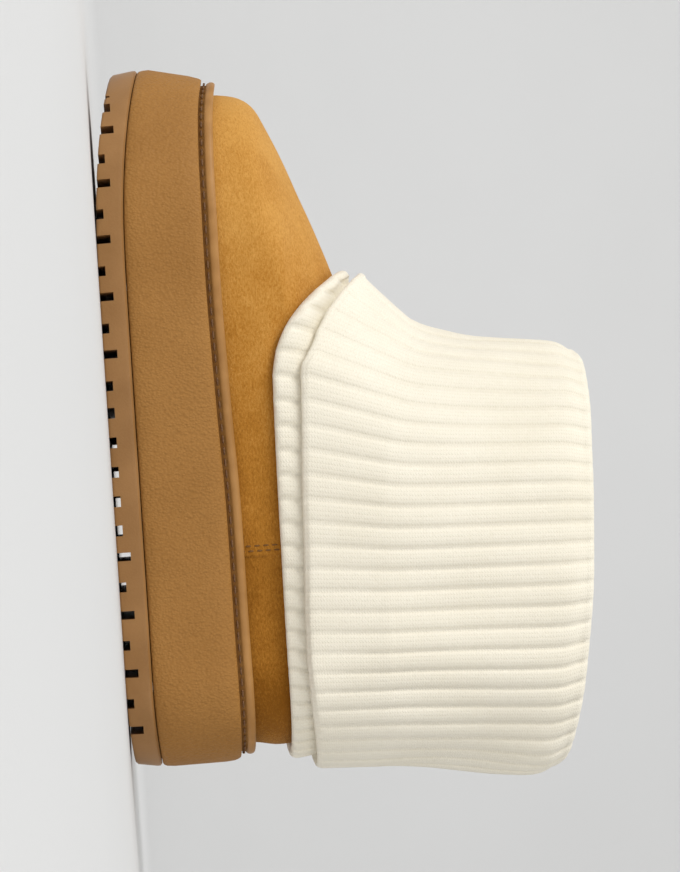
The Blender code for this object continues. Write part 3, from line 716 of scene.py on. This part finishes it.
knit = {
    "gap": 0.0007, "height": 0.174, "length": 0.166, "width": 0.088, "back": -0.144, "tilt": 0.0065,
    "layer": 0.0034, "band": 0.0042, "edge": 0.0205, "step": 0.0090, "lapRun": 0.020,
    "climb": 0.026, "hemClimb": 0.0225, "climbLength": 0.041, "climbOverlap": 0.010, "climbPower": 2.2,
    "frontFlare": 0.0034, "backFlare": 0.0024, "bandFlare": 0.25, "crease": 0.0025, "creaseGap": 0.0002,
    "ribs": 56, "perRib": 8, "ribDepth": 0.0014, "ribSeat": 0.25, "valleyPower": 3.5, "innerRibs": -0.5,
    "walesPerRib": 5.0, "course": 0.0010, "innerRows": 14, "cuffRows": 40, "hemRows": 5, "foldStep": 20,
    "hemSteps": 14, "halvings": 14,
    # slow swells of slack knit: height, waves round, waves up, start
    "swells": ((0.0004, 7, 9, 0), (0.0003, 13, -5, 2)),
    # rolled hem of the cuff and rolled edge of the band: shares of the layer out and up, of the ribs, steps
    "hemRoll": ((1.08, 1.0, 0.6, 3), (1.0, 0.45, 0.5, 3), (0.78, 0.06, 0.4, 3), (0.5, -0.04, 0.3, 3),
                (0.2, 0.12, 0.3, 2)),
    "edgeRoll": ((1.0, 0.65, 1.1, 3), (0.92, 0.24, 1.0, 3), (0.72, 0.04, 0.8, 3), (0.45, 0.0, 0.4, 2),
                 (0.15, 0.12, 0.15, 2)),
    # level up the cuff, side, front and back heights, reach, inside, width, front and back arcs
    "levels": ((0.00, 0.470, 0.590, 0.455, 0.134, 0.038, 1.060, 0.36, 0.26),
               (0.17, 0.560, 0.672, 0.540, 0.050, 0.036, 1.062, 0.41, 0.29),
               (0.33, 0.655, 0.748, 0.635, 0.020, 0.027, 1.052, 0.45, 0.34),
               (0.50, 0.760, 0.826, 0.735, 0.004, 0.013, 1.035, 0.48, 0.39),
               (0.67, 0.860, 0.908, 0.830, -0.009, -0.004, 1.015, 0.50, 0.43),
               (0.83, 0.935, 0.960, 0.910, -0.018, -0.014, 0.985, 0.50, 0.46),
               (1.00, 0.980, 0.990, 0.960, -0.038, 0.000, 0.930, 0.50, 0.48)),
}
cuffAt = [sampled(lambda level, c=column: curveValue(knit["levels"], c, level), 0.0, 1.0)
          for column in range(1, 9)]


def knitLook():
    look = Look("creamKnit", Specular_IOR_Level=0.1, Sheen_Weight=0.2, Sheen_Roughness=0.5)
    uv = look.uv()
    wale = look.axis(uv, "X") * (knit["ribs"] * knit["walesPerRib"])
    across = (wale.math("FRACT") - 0.5) * 2.0
    across = across.math("ABSOLUTE")
    course = look.axis(uv, "Y") * (1 / knit["course"]) + across * 0.55
    yarn = (course * math.pi).math("SINE").math("ABSOLUTE")
    place = look.place()
    fuzz = look.noise(place, 1100.0, 4.0, 0.7)
    cloudy = look.noise(place, 40.0, 3.0)
    height = (1.0 - across ** 3.0) * 0.22 + yarn * 0.25 + fuzz * 0.9
    colour = look.ramp(height * 0.4 + cloudy * 0.25,
                       (0.26, (0.780, 0.720, 0.580)), (0.60, (0.880, 0.830, 0.710)))
    return look.finish(colour, 0.95, height, 0.0004, 0.7)


def ribLift(k):
    # broad soft ridges with narrow valleys between them
    phase = (k % knit["perRib"]) / knit["perRib"]
    valley = 1 - abs(phase - 0.5) * 2
    return knit["ribDepth"] * (knit["ribSeat"] - valley ** knit["valleyPower"])


def cuffPoint(level, angle):
    side, frontUp, backUp, reach, inside, width, frontArc, backArc = (read(level) for read in cuffAt)
    back = knit["back"] + knit["length"] * inside
    front = knit["back"] + knit["length"] * (1 + reach)
    length = front - back
    point = loopPoint(angle, back, front, lambda x, s: knit["width"] / 2 * width,
                      length * backArc, length * frontArc)
    share = (point.x - back) / length * 2 - 1
    end = frontUp if share > 0 else backUp
    point.z = knit["height"] * mix(side, end, share ** 2) + knit["tilt"] * share * level
    return point


def cuffMiddle(angle):
    return cuffPoint(0.5, angle)


guide = np.array([cuffMiddle(a).x for a in evenAngles(cuffMiddle, knit["ribs"] * knit["perRib"])])


def cuffRing(level, inset, lift, ribs):
    ring = []
    for k, a in enumerate(guidedAngles(lambda a: cuffPoint(level, a), guide)):
        around = cuffPoint(level, a + 0.01) - cuffPoint(level, a - 0.01)
        out = Vector((around.y, -around.x, 0.0)).normalized()
        swell = sum(high * math.sin(waves * a + rises * level + start)
                    for high, waves, rises, start in knit["swells"])
        point = cuffPoint(level, a) + out * (ribs * ribLift(k) + swell - inset)
        ring.append(point + Vector((0.0, 0.0, lift)))
    return ring


def edgeHeight(x, base, climb):
    end = halfLength - upperInset - upper["vamp"] + knit["climbOverlap"]
    ahead = max(0.0, (x - end) / knit["climbLength"] + 1)
    return deck(0.0) + base + climb * ahead ** knit["climbPower"]


def edgeShare(angle, base, climb):
    # the share up the upper where it crosses the hem's height, by halving
    low, high = 0.0, 1.0
    for _ in range(knit["halvings"]):
        middle = (low + high) / 2
        point = upperPoint(middle, angle, knit["lapRun"])
        if point.z < edgeHeight(point.x, base, climb):
            low = middle
        else:
            high = middle
    return low


def bandLine(base, climb, out):
    # columns along a hem line, each with its angle and its share up the upper
    samples = 360
    shares = [edgeShare(math.tau * k / samples, base, climb) for k in range(samples)]

    def shareAt(a):
        place = a / math.tau * samples
        k = math.floor(place)
        return mix(shares[k % samples], shares[(k + 1) % samples], place - k)

    def outside(a):
        point, normal = upperFrame(shareAt(a), a, knit["lapRun"])[:2]
        return point + normal * out

    return [(a, shareAt(a)) for a in guidedAngles(outside, guide)]


def bandRing(line, out, climb, ribs=0.0, upto=0.0, flare=0.0):
    ring = []
    for k, (a, share) in enumerate(line):
        point, normal, up = upperFrame(mix(share, 1.0, upto), a, knit["lapRun"])
        ahead = math.cos(a) ** 3
        spread = flare * (knit["frontFlare"] * max(0.0, ahead) + knit["backFlare"] * max(0.0, -ahead))
        ring.append(point + normal * (out + spread + ribs * ribLift(k)) + up * climb)
    return ring


def makeKnit():
    layer, gap, thick = knit["layer"], knit["gap"], knit["band"]
    band = gap + thick
    hem = bandLine(knit["edge"] + knit["step"], knit["hemClimb"], band + layer)
    edge = bandLine(knit["edge"], knit["climb"], thick)
    rings, steps = [bandRing(hem, -upper["wall"], gap, upto=1.0)], [4]

    def add(ring, count):
        rings.append(ring)
        steps.append(count)

    for k in range(knit["innerRows"] + 1):
        add(cuffRing(k / knit["innerRows"], 2 * layer, 0.0, knit["innerRibs"]), 1)
    for degrees in range(180 - knit["foldStep"], 0, -knit["foldStep"]):
        turn = math.radians(degrees)
        add(cuffRing(1.0, layer - math.cos(turn) * layer, math.sin(turn) * layer,
                     mix(1.0, knit["innerRibs"], degrees / 180)), 1)
    for k in range(knit["cuffRows"], knit["hemRows"], -1):
        add(cuffRing(k / knit["cuffRows"], 0.0, 0.0, 1.0), 2)
    steps[-1] = knit["hemSteps"]
    for out, climb, ribs, count in knit["hemRoll"]:
        add(bandRing(hem, band + out * layer, climb * layer, ribs, flare=1.0), count)
    add(bandRing(hem, band + knit["creaseGap"], knit["crease"], 0.3), 3)
    add(bandRing(hem, band - 0.1 * thick, 0.0, 0.9, flare=knit["bandFlare"]), 8)
    for out, climb, ribs, count in knit["edgeRoll"]:
        add(bandRing(edge, gap + out * thick, climb * thick, ribs, flare=knit["bandFlare"] * out), count)
    add(bandRing(edge, gap, 0.3 * thick), 2)
    add(bandRing(edge, gap, 0.0, upto=0.5), 2)
    rings.append(bandRing(edge, gap, gap, upto=1.0))
    bm = skin(smoothRows(rings, steps), True)
    settle(makeObject(bm, "knitTube", knitLook()), "cream_knit", "knit_shaft")


# floor, lights and camera

stage = {
    "floor": (0.66, 0.66, 0.655),
    "reach": 4.0, "behind": 0.9, "cove": 1.2, "coveSteps": 24, "wall": 2.5,
}


def makeStage():
    look = Look("paleFloor", Specular_IOR_Level=0.2)
    soft = look.noise(look.place(), 3.0, 2.0)
    paper = look.noise(look.place(), 900.0, 2.0)
    bright = tuple(c * 1.02 for c in stage["floor"])
    paint = look.finish(look.ramp(soft, (0.3, stage["floor"]), (0.7, bright)), 0.85, paper, 0.0002, 0.2)
    reach, behind, cove = stage["reach"], stage["behind"], stage["cove"]
    bm = bmesh.new()
    near = [bm.verts.new((side * reach, reach, 0.0)) for side in (1, -1)]
    grown = bmesh.ops.extrude_edge_only(bm, edges=[bm.edges.new(near)])["geom"]
    bmesh.ops.translate(bm, vec=(0.0, -reach - behind, 0.0), verts=newVerts(grown))
    back = [e for e in bm.edges if all(v.co.y < 0.0 for v in e.verts)]
    bmesh.ops.spin(bm, geom=back, cent=(0.0, -behind, cove), axis=(1.0, 0.0, 0.0), angle=-math.pi / 2,
                   steps=stage["coveSteps"])
    top = [e for e in bm.edges if all(v.co.z > cove - 1e-4 for v in e.verts)]
    grown = bmesh.ops.extrude_edge_only(bm, edges=top)["geom"]
    bmesh.ops.translate(bm, vec=(0.0, 0.0, stage["wall"]), verts=newVerts(grown))
    makeObject(bm, "studioFloor", paint)


lamps = {
    # place, size and power
    "keyLight": ((2.0, 1.6, 1.7), 1.5, 57.0),
    "fillLight": ((-1.3, 2.6, 1.0), 2.0, 24.0),
    "topLight": ((0.0, -0.6, 2.8), 2.0, 22.0),
}
lampAim = Vector((0.0, 0.0, 0.09))
world = {"colour": (1.0, 1.0, 1.0), "strength": 0.42}


def makeLights():
    for name, (place, size, power) in lamps.items():
        data = bpy.data.lights.new(name, "AREA")
        data.shape = "DISK"
        data.size = size
        data.energy = power
        lamp = bpy.data.objects.new(name, data)
        lamp.location = place
        lamp.rotation_euler = (lampAim - Vector(place)).to_track_quat("-Z", "Y").to_euler()
        bpy.context.scene.collection.objects.link(lamp)
    sky = bpy.data.worlds.new("studio")
    sky.use_nodes = True
    sky.node_tree.nodes["Background"].inputs["Color"].default_value = (*world["colour"], 1.0)
    sky.node_tree.nodes["Background"].inputs["Strength"].default_value = world["strength"]
    bpy.context.scene.world = sky


# degrees up, turned and rolled from straight on, with the toe at the top of the picture
view = {
    "up": 6.0, "turn": -1.89, "roll": -3.76,
    "place": (-0.0299, 0.7460, 0.0089), "lens": 80.7, "near": 0.01,
}


def makeCamera():
    up, turn, roll = (math.radians(view[k]) for k in ("up", "turn", "roll"))
    back = Vector((math.sin(turn) * math.cos(up), math.cos(turn) * math.cos(up), -math.sin(up)))
    right = (Vector((0.0, 0.0, 1.0)) - back * back.z).normalized()
    down = right.cross(back)
    across = right * math.cos(roll) - down * math.sin(roll)
    below = right * math.sin(roll) + down * math.cos(roll)
    data = bpy.data.cameras.new("photoView")
    data.lens = view["lens"]
    data.clip_start = view["near"]
    camera = bpy.data.objects.new("photoView", data)
    turned = Matrix((across, -below, back)).transposed().to_4x4()
    camera.matrix_world = Matrix.Translation(view["place"]) @ turned
    bpy.context.scene.collection.objects.link(camera)
    bpy.context.scene.camera = camera


print("making the sole")
makeOutsole()
makePlatform()
makeWelt()
makeWeltStitches()
print("making the upper")
makeUpper()
makeSeamStitches()
makeFootbed()
print("making the knit")
makeKnit()
print("making the stage")
makeStage()
makeLights()
makeCamera()
bpy.context.scene.view_settings.view_transform = "Standard"
